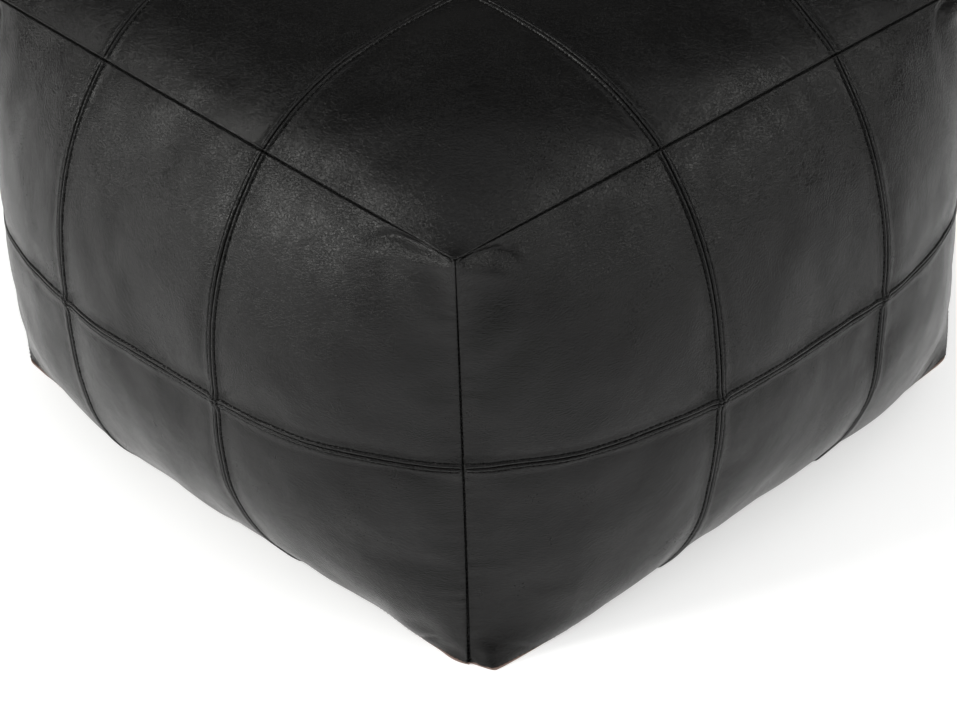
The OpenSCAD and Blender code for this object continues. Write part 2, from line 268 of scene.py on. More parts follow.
def inner_seam(d, s, seed):
    """Height beside a topstitched seam: a deep crease, a roll of leather over the allowance, and a sunk row of stitches."""
    raise_ = 1.0 * (1 - smooth(3.5, 8.6 + 0.9 * wander(s + seed), d))
    pull = 0.5 + 0.5 * np.cos(2 * np.pi * s / PITCH)
    roll = (1.05 + 0.12 * wander(s * 0.7 + seed)) * np.sqrt(np.clip(1 - ((d - 1.4) / 1.38) ** 2, 0, 1))
    crease = 0.6 * (1 - smooth(0.0, 0.50, d)) + 1.0 * (1 - smooth(0.02, 0.32, d))
    row = (0.16 + 0.52 * pull ** 2) * np.exp(-((d - ROW - 0.1) / 0.55) ** 2)
    puff = 0.16 * (1 - pull) * np.exp(-((d - 2.0) / 0.8) ** 2)
    ruck = (0.05 * gather(s + seed) + 0.07 * gather2(s + seed)) * np.exp(-np.clip(d - 3.4, 0, None) / 4.5) * smooth(3.0, 4.2, d)
    return raise_ + roll - crease - row + puff + ruck


EDGE_R = 1.25                  # how tightly the leather rounds into a plain closed seam


def turn_in(d):
    return np.where(d < EDGE_R, 1.0 - np.sqrt(np.clip(1 - (1 - d / EDGE_R) ** 2, 0, 1)), 0) * 1.5 + 1.1 * (1 - smooth(0.10, 0.42, d))


def outer_seam(d, s, seed, strong):
    """Height beside a plain closed seam: the leather is nipped in at each stitch and lightly gathered between."""
    bead = strong * (0.80 * (0.5 + 0.5 * np.cos(2 * np.pi * s / PITCH)) ** 2 * np.exp(-((d - 0.9) / 0.8) ** 2) - 0.38 * np.exp(-((d - 1.05) / 0.62) ** 2))
    ruck = strong * (0.05 * gather(s + seed) * np.exp(-d / 3.0) + 0.07 * gather2(s + seed) * np.exp(-d / 6.0)) * smooth(0.2, 1.6, d)
    return -bead + ruck


def settled(face, u, z):
    """How much further out than the even form the bottom of a side sits on the floor, by the near corner, in mm."""
    if face == 0:
        p = HALF - u
        return (-5.2 * smooth(30, 95, p) * (1 - smooth(195, 226, p)) + 1.6 * (1 - smooth(8, 34, p))) * np.exp(-(z / 60.0) ** 2)
    if face == 1:
        p = HALF + u
        reach = np.minimum(9.0 + 0.75 * p, 55.0)
        return 13.5 * (1 - smooth(35, 220, p)) * smooth(0, 9, p) * np.exp(-(z / reach) ** 2)
    return 0.0 * u * z


class Panel:
    def __init__(self, name, kind, face, c, r, field):
        self.name, self.kind, self.face, self.c, self.r, self.field = name, kind, face, c, r, field
        self.a0, self.a1 = (c - 0.5) * PW, (c + 0.5) * PW
        if kind == "side":
            self.b0, self.b1 = r * SIDE_H / 2, (r + 1) * SIDE_H / 2
            self.inner = (c > -1, c < 1, r == 1, r == 0)         # left, right, low, high
        else:
            self.b0, self.b1 = (r - 0.5) * PW, (r + 0.5) * PW
            self.inner = (c > -1, c < 1, r > -1, r < 1)
        self.seed = 1000.0 * (len(name) + 7 * face + 3 * c + 5 * r)

    def base(self, A, B):
        if self.kind == "side":
            P = side_pt(A, B / SIDE_H)
            if self.r == 0:
                P[..., 1] -= settled(self.face, A + 0 * B, B + 0 * A)
            return P
        return top_pt(A, B)

    def frame_at(self, A, B, e=0.4):
        da = (self.base(A + e, B) - self.base(A - e, B)) / (2 * e)
        db = (self.base(A, B + e) - self.base(A, B - e)) / (2 * e)
        return unit(np.cross(da, db)), np.linalg.norm(da, axis=-1), np.linalg.norm(db, axis=-1)

    def bisector(self, k, A, B):
        """Halfway between this panel's normal and its neighbour's, along the closed seam k; in this panel's frame."""
        def side_n(u, v, quarter):
            u, v = np.broadcast_arrays(u, v)
            da = side_pt(u + 0.4, v) - side_pt(u - 0.4, v)
            db = side_pt(u, v + 0.0015) - side_pt(u, v - 0.0015)
            return turn(unit(np.cross(da, db)), quarter)

        def top_n(x, y):
            x, y = np.broadcast_arrays(x, y)
            da = top_pt(x + 0.4, y) - top_pt(x - 0.4, y)
            db = top_pt(x, y + 0.4) - top_pt(x, y - 0.4)
            return unit(np.cross(da, db))

        one = np.ones(A.shape)
        if self.kind == "side":
            v = B / SIDE_H
            if k == 1:
                return unit(side_n(HALF * one, v, 0) + side_n(-HALF * one, v, 1))
            if k == 0:
                return unit(side_n(-HALF * one, v, 0) + side_n(HALF * one, v, 3))
            if k == 3:
                return unit(side_n(A, one, 0) + top_n(A, -HALF * one))
            n = side_n(A, 0 * one, 0)
            return unit(n + 0.25 * np.array([0, 0, -1.0]))
        if k == 2:
            return unit(top_n(A, -HALF * one) + side_n(A, one, 0))
        if k == 1:
            return unit(top_n(HALF * one, B) + side_n(B, one, 1))
        if k == 3:
            return unit(top_n(A, HALF * one) + side_n(-A, one, 2))
        return unit(top_n(-HALF * one, B) + side_n(-B, one, 3))

    def surface_at(self, A, B):
        """The finished surface at panel coordinates, in mm, in the row frame."""
        A, B = np.broadcast_arrays(np.asarray(A, float), np.asarray(B, float))
        P = self.base(A, B)
        N, ma, mb = self.frame_at(A, B)
        W = turn(P, self.face)
        x = (A - self.a0) / (self.a1 - self.a0)
        y = (B - self.b0) / (self.b1 - self.b0)
        if self.field is not None:
            P = P + AMOUNT["sim"] * spline(self.field, x * CELLS, y * CELLS)
        d = [(A - self.a0) * ma, (self.a1 - A) * ma, (B - self.b0) * mb, (self.b1 - B) * mb]
        d = [np.clip(q, 0, None) for q in d]
        # soft unevenness of the stuffing, held in at the plain edge seams
        edge = np.full(A.shape, 1e9)
        for k in range(4):
            if not self.inner[k]:
                edge = np.minimum(edge, d[k])
        hold = smooth(0, 30, edge)
        lump = 0.6 * dents(W) * hold + 0.12 * dimples(W) * smooth(0, 16, edge) + 0.025 * ripple(W) * smooth(0, 6, edge)
        # each panel pillows between its topstitched seams
        pillow = 1.7
        for k in range(4):
            pillow = pillow * (1 - np.exp(-(d[k] / (26.0 if self.inner[k] else 15.0)) ** 1.3))
        h = lump + pillow
        S = [B, B, A, A]
        raised = []
        for k in range(4):
            s = S[k]
            if self.inner[k]:
                h = h + inner_seam(d[k], s, 37.0 * k + self.seed)
            else:
                h = h + outer_seam(d[k], s, 53.0 * k + (self.seed if k > 1 else 0), 1.0)
        h = h + self.corner_folds(A, B, d)
        P = P + N * h[..., None]
        for k in range(4):
            if not self.inner[k]:
                near = d[k] < EDGE_R
                if near.any():
                    P[near] -= self.bisector(k, A[near], B[near]) * turn_in(d[k][near])[..., None]
        self.lift_corner(P, d)
        P[..., 2] = np.maximum(P[..., 2], 0.25)
        return turn(P, self.face)

    def lift_corner(self, P, d):
        """At the bottom corners the side leather rounds in and rides up a little, off the edge of the base."""
        if self.kind != "side" or self.r == 1:
            return
        for k in (0, 1):
            if self.inner[k]:
                continue
            p, q = d[k], d[2]
            reach = 30.0 if k == 1 else 52.0
            P[..., 2] += 1.25 * np.exp(-(p / reach) ** 2) * np.exp(-q / 9.0)
            back = 2.4 * np.exp(-p / 6.0) * np.exp(-q / 13.0)
            P[..., 0] += back * (0.7 if k == 0 else -0.7)
            P[..., 1] += back * 0.7

    def corner_folds(self, A, B, d):
        """The pinched leather under the top corners and beside the corner seams of a side."""
        h = np.zeros(A.shape)
        if self.kind != "side":
            # the top dips a little just inside its corners
            for k, j in ((0, 2), (0, 3), (1, 2), (1, 3)):
                if not self.inner[k] and not self.inner[j]:
                    p = np.hypot(d[k], d[j])
                    h -= 0.7 * np.exp(-((p - 14) / 9) ** 2)
            return h
        for k in (0, 1):
            if self.inner[k]:
                continue
            p = d[k]
            # fine level tension wrinkles beside the corner seam
            some = 0.5 + 0.5 * smooth(-0.6, 1.0, wander(B * 1.3 + 77 * self.face))
            h += some * (0.10 * gather(B * 0.8 + 400 * self.face + 90 * k) + 0.12 * gather2(B * 0.9 + 300 * self.face)) * np.exp(-p / 8.0) * smooth(0.3, 2.0, p)
            if self.r == 1:
                q = d[3]
                wide = 0.03 if k == 1 else 0.12
                drift = 0.045 if k == 1 else 0.16
                end = 58.0 if k == 1 else 40.0
                bend = np.clip((p - 0.74 * end) / (0.36 * end), 0, None) ** 2
                q0 = 2.6 + drift * p + 11.0 * bend
                up, low = 2.1 + 0.02 * p, 3.3 + wide * p
                w = np.where(q < q0, up, low)
                fade = smooth(1.0, 9.0, p) * (1 - smooth(0.62 * end, 1.12 * end, p))
                h -= 3.7 * np.exp(-((q - q0) / w) ** 2) * fade
                h += 1.0 * np.exp(-((q - (q0 + 2.3 * low)) / (1.1 * low)) ** 2) * fade
                # the crease where that fold ends
                h -= 0.55 * np.exp(-((q - q0 - 1.0) / 1.5) ** 2) * smooth(0.6 * end, 0.85 * end, p) * (1 - smooth(1.0 * end, 1.25 * end, p))
            else:
                q = d[2]
                end = 50.0 if k == 1 else 38.0
                fade = smooth(1, 9, p) * (1 - smooth(0.1 * end, end, p))
                h -= 0.9 * np.exp(-((q - (6.0 + 0.10 * p)) / 4.5) ** 2) * fade
                t = (p - 30) * 0.50 + (q - 9) * 0.87
                l = (p - 30) * 0.87 - (q - 9) * 0.50
                h -= (1.1 if k == 1 else 0.5) * np.exp(-(t / 2.4) ** 2) * np.exp(-(l / 12.0) ** 2)
        return h


def spaced(a, b, step):
    """Grid lines from a to b: close together by both seams, and between them in step with the stitches."""
    near = np.array([0.04, 0.25, 0.5, 0.8, 1.15, 1.55, 1.95, 2.35, 2.65, 3.0, 3.35, 3.7, 4.2, 5.0, 6.0, 7.2])
    if step > 2:
        near = np.array([0.05, 0.4, 0.9, 1.5, 2.2, 2.7, 3.2, 3.9, 5.2, 7.4])
    k = np.arange(math.ceil((a + near[-1] + 0.5 * step) / step), math.floor((b - near[-1] - 0.5 * step) / step) + 1)
    lines = np.concatenate([a + near, k * step, (b - near)[::-1]])
    while (len(lines) - 1) % 4:                                # so that every fourth line makes the inner face
        gap = np.argmax(np.diff(lines))
        lines = np.insert(lines, gap + 1, (lines[gap] + lines[gap + 1]) / 2)
    return lines


def new_mesh(name, verts, faces, smooth_faces=True):
    """A mesh object from an array of points in mm and a list of arrays of faces, each array of one face size."""
    me = bpy.data.meshes.new(name)
    verts = np.ascontiguousarray(verts, np.float32) * np.float32(MM)
    faces = [np.asarray(f, np.int32) for f in (faces if isinstance(faces, list) else [faces]) if len(f)]
    me.vertices.add(len(verts))
    me.vertices.foreach_set("co", verts.ravel())
    loops = np.concatenate([f.ravel() for f in faces])
    sizes = np.concatenate([np.full(len(f), f.shape[1], np.int32) for f in faces])
    me.loops.add(len(loops))
    me.loops.foreach_set("vertex_index", loops)
    me.polygons.add(len(sizes))
    me.polygons.foreach_set("loop_start", np.concatenate([[0], np.cumsum(sizes)[:-1]]).astype(np.int32))
    me.update(calc_edges=True)
    me.polygons.foreach_set("use_smooth", np.full(len(sizes), smooth_faces))
    me.validate()
    ob = bpy.data.objects.new(name, me)
    bpy.context.scene.collection.objects.link(ob)
    return ob


def panel_mesh(p, step):
    """The panel as a closed piece of leather: a fine outer face and a plainer inner one."""
    A, B = spaced(p.a0, p.a1, step), spaced(p.b0, p.b1, step)
    n, m = len(A), len(B)
    out = p.surface_at(A[:, None], B[None, :])
    ia, ib = np.arange(0, n, 4), np.arange(0, m, 4)
    Ai, Bi = A[ia].copy(), B[ib].copy()
    Ai[0] += 0.3; Ai[-1] -= 0.3; Bi[0] += 0.3; Bi[-1] -= 0.3
    Pb = p.base(Ai[:, None], Bi[None, :])
    N, _, _ = p.frame_at(*np.broadcast_arrays(Ai[:, None], Bi[None, :]))
    if p.field is not None:
        x = (Ai[:, None] - p.a0) / (p.a1 - p.a0) * CELLS + 0 * Bi[None]
        y = (Bi[None, :] - p.b0) / (p.b1 - p.b0) * CELLS + 0 * Ai[:, None]
        Pb = Pb + AMOUNT["sim"] * spline(p.field, x, y)
    inn = Pb - 3.4 * N
    inn[..., 2] = np.maximum(inn[..., 2], 1.6)
    inn = turn(inn, p.face)
    ni, mi = len(ia), len(ib)
    o = np.arange(n * m).reshape(n, m)
    q = n * m + np.arange(ni * mi).reshape(ni, mi)
    quads = [np.stack([o[:-1, :-1], o[1:, :-1], o[1:, 1:], o[:-1, 1:]], -1).reshape(-1, 4),
             np.stack([q[:-1, :-1], q[:-1, 1:], q[1:, 1:], q[1:, :-1]], -1).reshape(-1, 4)]
    rims = []
    for fine, coarse, flip in ((o[:, 0], q[:, 0], False), (o[:, -1], q[:, -1], True), (o[0], q[0], True), (o[-1], q[-1], False)):
        k = len(coarse) - 1
        f = fine[: 4 * k + 1]
        r = np.stack([f[1:4 * k + 1:4], f[0:4 * k:4], coarse[:-1], coarse[1:], f[4:4 * k + 1:4], f[3:4 * k:4], f[2:4 * k:4]], -1)
        # fine points run backwards round the face, then the two inner points
        rims.append(r if flip else r[:, ::-1])
    ob = new_mesh(p.name, np.concatenate([out.reshape(-1, 3), inn.reshape(-1, 3)]), [np.concatenate(quads), np.concatenate(rims)])
    return ob


# ------------------------------------------------------------------ threads
def tubes(name, lines, radii, sides=6):
    """Many short capsules as one mesh. lines is (n, k, 3) in mm; radii is one for each of the k rings."""
    lines = np.asarray(lines, float)
    n, k, _ = lines.shape
    t = unit(np.gradient(lines, axis=1))
    ref = np.where(np.abs(t[:, :1, 2:3]) > 0.85, np.array([1.0, 0.2, 0]), np.array([0, 0.1, 1.0]))
    a = unit(np.cross(t, np.broadcast_to(ref, t.shape)))
    b = np.cross(t, a)
    ang = np.arange(sides) * 2 * np.pi / sides
    r = np.asarray(radii, float)[None, :, None, None]
    ring = lines[:, :, None] + r * (np.cos(ang)[None, None, :, None] * a[:, :, None] + np.sin(ang)[None, None, :, None] * b[:, :, None])
    per = k * sides
    v = ring.reshape(-1, 3)
    i = np.arange(k - 1)[:, None] * sides
    j = np.arange(sides)[None]
    q = np.stack([i + j, i + (j + 1) % sides, i + sides + (j + 1) % sides, i + sides + j], -1).reshape(-1, 4)
    caps = np.stack([np.arange(sides)[::-1], (k - 1) * sides + np.arange(sides)])
    off = (np.arange(n) * per)[:, None, None]
    return new_mesh(name, v, [(q[None] + off).reshape(-1, 4), (caps[None] + off).reshape(-1, sides)])


def stitch_rows(p, k):
    """The stitches of panel p in the row beside its seam k, as centre lines of five points."""
    along0, along1 = (p.b0, p.b1) if k < 2 else (p.a0, p.a1)
    first = math.ceil((along0 - 0.01) / PITCH)
    last = math.floor((along1 + 0.01) / PITCH)
    lo = np.arange(first, last) * PITCH
    t = np.array([0.07, 0.27, 0.5, 0.73, 0.93])
    s = lo[:, None] + PITCH * t[None]
    jit = 0.10 * wander(s * 9.0 + 31 * k + p.seed) + 0.10 * gather2(s + 17 * k + p.seed)
    for _ in range(1):
        if k < 2:
            A0 = np.full(s.shape, p.a0 if k == 0 else p.a1)
            _, ma, mb = p.frame_at(A0, s)
            A, B = A0 + (1 if k == 0 else -1) * (ROW + jit) / ma, s
        else:
            B0 = np.full(s.shape, p.b0 if k == 2 else p.b1)
            _, ma, mb = p.frame_at(s, B0)
            A, B = s, B0 + (1 if k == 2 else -1) * (ROW + jit) / mb
    P = p.surface_at(A, B)
    N = p.frame_at(A, B)[0]
    N = turn(N, p.face)
    lift = np.array([-0.42, 0.10, 0.20, 0.10, -0.42])
    return P + N * lift[None, :, None]


def seam_bars(made):
    """Thread that crosses the closed seams at each stitch, seen down in the crevice: at the corners and round the top."""
    grid = {-1: "left", 0: "middle", 1: "right"}
    sides = ("front", "right", "back", "left")
    rows = {-1: "front", 0: "middle", 1: "back"}
    out = []

    def bar(pa, Aa, Ba, pb, Ab, Bb):
        P, Q = pa.surface_at(Aa, Ba), pb.surface_at(Ab, Bb)
        mid = (P + Q) / 2
        out.append(np.stack([P + (P - mid) * 0.35, P * 0.5 + mid * 0.5, mid, Q * 0.5 + mid * 0.5, Q + (Q - mid) * 0.35], -2))

    def marks(a, b):
        k = np.arange(math.ceil(a / PITCH + 0.01), math.floor(b / PITCH - 0.01) + 1)
        return k * PITCH

    e = 0.42
    for f in range(4):
        for r, rn in ((0, "lower"), (1, "upper")):
            pa, pb = made[f"{sides[f]}_{rn}_right"], made[f"{sides[(f + 1) % 4]}_{rn}_left"]
            s = marks(pa.b0, pa.b1)
            bar(pa, pa.a1 - e + 0 * s, s, pb, pb.a0 + e + 0 * s, s)
        for c in (-1, 0, 1):
            pa = made[f"{sides[f]}_upper_{grid[c]}"]
            s = marks(pa.a0, pa.a1)
            tc, tr = ((c, -1), (1, c), (-c, 1), (-1, -c))[f]
            pb = made["top_centre" if (tc, tr) == (0, 0) else f"top_{rows[tr]}_{grid[tc]}"]
            x, y = ((s, -HALF + e + 0 * s), (HALF - e + 0 * s, s), (-s, HALF - e + 0 * s), (-HALF + e + 0 * s, -s))[f]
            bar(pa, s, pa.b1 - e + 0 * s, pb, x, y)
    return np.concatenate(out)


# ------------------------------------------------------------------ building the cover
def build_panels(fields):
    step = PITCH / 2
    made = {}
    grid = {-1: "left", 0: "middle", 1: "right"}
    for f, fname in enumerate(("front", "right", "back", "left")):
        for r, rname in ((0, "lower"), (1, "upper")):
            for c in (-1, 0, 1):
                name = f"{fname}_{rname}_{grid[c]}"
                made[name] = Panel(name, "side", f, c, r, fields.get(("side", f, c, r)))
    for r, rname in ((-1, "front"), (0, "middle"), (1, "back")):
        for c in (-1, 0, 1):
            name = "top_centre" if (r, c) == (0, 0) else f"top_{rname}_{grid[c]}"
            made[name] = Panel(name, "top", 0, c, r, fields.get(("top", 0, c, r)))
    return made, {n: panel_mesh(p, step) for n, p in made.items()}


def flat_size(p):
    """The flat cut of a panel, in metres: its own arc lengths plus the seam allowances folded inside."""
    A, B = np.linspace(p.a0, p.a1, 41), np.linspace(p.b0, p.b1, 41)
    P = p.base(A[:, None], B[None, :])
    w = np.linalg.norm(np.diff(P, axis=0), axis=-1).sum(0)
    l = np.linalg.norm(np.diff(P, axis=1), axis=-1).sum(1)
    extra_w = sum(9.0 if i else 8.0 for i in p.inner[:2])
    extra_l = sum(9.0 if i else 8.0 for i in p.inner[2:])
    return (float((w.mean() + extra_w) * MM), float((l.mean() + extra_l) * MM))


# ------------------------------------------------------------------ the cover's other pieces
def closed_grid(name, outer, inner):
    """A thin closed piece from two matching grids of points: the face on show and the one behind it."""
    n, m = outer.shape[:2]
    o = np.arange(n * m).reshape(n, m)
    q = o + n * m
    f = [np.stack([o[:-1, :-1], o[1:, :-1], o[1:, 1:], o[:-1, 1:]], -1).reshape(-1, 4),
         np.stack([q[:-1, :-1], q[:-1, 1:], q[1:, 1:], q[1:, :-1]], -1).reshape(-1, 4),
         np.stack([o[:-1, 0], q[:-1, 0], q[1:, 0], o[1:, 0]], -1),
         np.stack([o[:-1, -1], o[1:, -1], q[1:, -1], q[:-1, -1]], -1),
         np.stack([o[0, :-1], o[0, 1:], q[0, 1:], q[0, :-1]], -1),
         np.stack([o[-1, :-1], q[-1, :-1], q[-1, 1:], o[-1, 1:]], -1)]
    return new_mesh(name, np.concatenate([outer.reshape(-1, 3), inner.reshape(-1, 3)]), np.concatenate(f))


def base_half(name, sign):
    """Half of the tan leather base, from the zip or the middle seam out to the cover's bottom edge."""
    n, m = ((240, 130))
    a = np.concatenate([[-1.0], -1 + 0.004 * np.array([0.3, 0.8, 1.6, 3]), np.linspace(-0.982, 0.982, n), 1 - 0.004 * np.array([3, 1.6, 0.8, 0.3]), [1.0]])[:, None]
    b = np.concatenate([[0, 0.0012, 0.003, 0.006, 0.010, 0.016], np.linspace(0.026, 0.984, m), [0.990, 0.994, 0.997, 0.999, 1.0]])[None, :]
    x0 = a * HALF
    near = np.exp(-((HALF - np.abs(x0)) / 62.0) ** 2)
    inset = 2.0 - 2.5 * near + 0.25 * Waves(31, 20, 60, 10, 1)(x0[:, 0] + 500 * sign)[:, None]
    ye = 8.0 * (1 - smooth(203, 214, np.abs(x0))) + 0.25
    yo = HALF - inset + BBOW * g(x0, 2)
    if sign < 0:
        yo = yo + settled(0, x0, 0 * x0)
    y = ye + (yo - ye) * b
    near_y = np.exp(-((HALF - np.minimum(y, HALF)) / 62.0) ** 2)
    inset_x = 2.0 - 2.5 * near_y
    x = a * (HALF - inset_x + BBOW * g(np.minimum(y, HALF), 2))
    x = x + np.maximum(a, 0) ** 5 * settled(1, np.maximum(sign * y, -HALF), 0 * y)
    # the corners are rounded
    cx, cy = HALF - np.abs(x), HALF - y
    back = 3.2 * np.exp(-np.hypot(np.maximum(cx, 0), np.maximum(cy, 0)) / 5.5)
    x = x - np.sign(x) * back * 0.7
    y = y - back * 0.7
    P = np.stack([x + 0 * y, sign * (y + 0 * x), 0 * x + 0 * y], -1)
    d_in = (y - ye) + 0 * x
    d_out = np.minimum((yo - y) + 0 * x, (1 - np.abs(a)) * HALF + 0 * y)
    lump = 0.22 + 0.10 * Waves(32, 30, 90, 18, 3)(P) + 0.04 * Waves(33, 8, 16, 14, 3)(P)
    fold = 0.9 * (1 - smooth(0, 0.8, d_in))
    row = 0.18 * np.exp(-((d_in - 4.0) / 0.7) ** 2)
    z = np.clip(lump + fold + row, 0.0, 1.2)
    under, over = P.copy(), P.copy()
    under[..., 2] = z
    over[..., 2] = np.maximum(1.4 + 0.3 * (1 - smooth(0, 3, d_out)), z + 0.25)
    if sign > 0:
        return closed_grid(name, under[::-1], over[::-1])
    return closed_grid(name, under, over)


def zip_tape(name, sign):
    """A woven tape: flat beside the coil, then down onto the leather it is sewn to."""
    n = 220
    x = np.linspace(-213, 213, n)[:, None]
    y = np.concatenate([[3.35, 3.5, 4.0, 4.6], np.linspace(5.4, 20.6, 22), [21.3, 21.8, 22.0]])[None, :]
    z = 5.85 + (1.55 - 5.85) * smooth(4.5, 13.0, y)
    wave = 0.06 * Waves(41, 18, 40, 10, 1)(x[:, 0])[:, None] * smooth(4, 12, y)
    P = np.stack([x + 0 * y, sign * (y + 0 * x), z + wave + 0 * x], -1)
    Q = P.copy()
    Q[..., 2] += 0.5
    if sign > 0:
        return closed_grid(name, P[::-1], Q[::-1])
    return closed_grid(name, P, Q)


def zip_coil(name, sign):
    """The coil's teeth: one bent loop of nylon for each, clear of the slider's divider."""
    pitch = 1.5
    x = np.arange(-181.2, 181.3, pitch) + (0.75 if sign > 0 else 0.0)
    x = x[x < 181.4]
    loop = np.array([[0, 3.2, 5.5], [0, 2.2, 5.45], [0, 1.45, 5.6], [0, 1.12, 6.1], [0, 1.45, 6.6], [0, 2.2, 6.75], [0, 3.2, 6.7]])
    loop = np.repeat(loop[None], len(x), 0)
    loop[..., 0] = x[:, None] + np.linspace(-0.22, 0.22, 7)[None]
    loop[..., 1] *= sign
    return tubes(name, loop, [0.34, 0.36, 0.38, 0.42, 0.38, 0.36, 0.34], 6)


def ring_surface(t, v, depth):
    """A point of the swollen form's sides, t from 0 to 4 round it, pushed in by depth along its own normal."""
    f = np.floor(t).astype(int) % 4
    u = (t - np.floor(t)) * 2 * HALF - HALF
    e = 0.5
    P = side_pt(u, v)
    da = side_pt(u + e, v) - side_pt(u - e, v)
    db = side_pt(u, v + 0.004) - side_pt(u, v - 0.004)
    N = unit(np.cross(da, db))
    P = P - N * depth
    out = np.empty_like(P)
    for k in range(4):
        Q = P[f == k]
        Q[..., 1] -= np.minimum(settled(k, u[f == k], v[f == k] * SIDE_H), 0)
        out[f == k] = turn(Q, k)
    return out


def inside_form(shrink, drop):
    """The swollen form scaled in by shrink mm, as functions for its sides and its top."""
    s = (HALF + 25 - shrink) / (HALF + 25)
    top_z = SIDE_H + CROWN * 0.5 + TRISE * 0.5
    sz = (top_z - shrink - drop) / top_z

    def side(t, v):
        P = ring_surface(t, v, 0)
        return np.stack([P[..., 0] * s, P[..., 1] * s, drop + P[..., 2] * sz], -1)

    def top(x, y):
        P = top_pt(x, y)
        return np.stack([P[..., 0] * s, P[..., 1] * s, drop + P[..., 2] * sz], -1)
    return side, top


def cup_mesh(name, shrink, drop, upper, thick, closed=False):
    """The liner's upper or lower half, or the whole stuffing, as one smooth closed piece."""
    n = 36
    pts, faces = [], []

    def layer(shr, dr):
        side, top = inside_form(shr, dr)
        m = n if closed else n // 2
        if closed:
            v = np.linspace(0, 1, m + 1)
        else:
            v = np.linspace(0.5, 1, m + 1) if upper else np.linspace(0.5, 0, m + 1)
        t = np.arange(4 * n) / n
        S = side(t[:, None] + 0 * v[None], v[None] + 0 * t[:, None])      # 4n x (m+1)
        u = np.linspace(-HALF, HALF, n + 1)
        if closed or upper:
            T = top(u[:, None] + 0 * u[None], u[None] + 0 * u[:, None])
        if closed or not upper:
            s = (HALF + 25 - shr) / (HALF + 25)
            X = (u[:, None] * (1 + BBOW * g(u[None], 2) / HALF)) * s
            Y = (u[None] * (1 + BBOW * g(u[:, None], 2) / HALF)) * s
            Bo = np.stack([X, Y, np.full(X.shape, float(dr))], -1)
        return S, (T if closed or upper else None), (Bo if closed or not upper else None), m

    def emit(S, T, Bo, m, flip):
        start = len(pts)
        ids = start + np.arange(S.shape[0] * S.shape[1]).reshape(S.shape[:2])
        pts.extend(S.reshape(-1, 3).tolist())
        fs = []
        N4 = 4 * n
        down = (not closed) and (not upper)
        for i in range(N4):
            j = (i + 1) % N4
            for k in range(m):
                q = (ids[i, k], ids[j, k], ids[j, k + 1], ids[i, k + 1])
                fs.append(q[::-1] if down else q)

        def cap(grid, row, up):
            gid = np.zeros((n + 1, n + 1), int)
            for a in range(n + 1):
                for b in range(n + 1):
                    if b == 0:
                        gid[a, b] = ids[a % N4, row]
                    elif a == n:
                        gid[a, b] = ids[(n + b) % N4, row]
                    elif b == n:
                        gid[a, b] = ids[(2 * n + (n - a)) % N4, row]
                    elif a == 0:
                        gid[a, b] = ids[(3 * n + (n - b)) % N4, row]
                    else:
                        gid[a, b] = len(pts)
                        pts.append(grid[a, b].tolist())
            for a in range(n):
                for b in range(n):
                    q = (gid[a, b], gid[a + 1, b], gid[a + 1, b + 1], gid[a, b + 1])
                    fs.append(q if up else q[::-1])
        if closed:
            cap(T, m, True)
            cap(Bo, 0, False)
        elif upper:
            cap(T, m, True)
        else:
            cap(Bo, m, False)
        faces.extend([f[::-1] for f in fs] if flip else fs)
        return ids

    a = emit(*layer(shrink, drop), False)
    if not closed:
        b = emit(*layer(shrink + thick, drop + thick), True)
        N4 = 4 * n
        for i in range(N4):
            j = (i + 1) % N4
            q = (a[i, 0], b[i, 0], b[j, 0], a[j, 0])
            faces.append(q if upper else q[::-1])
    return new_mesh(name, np.array(pts), np.array(faces))


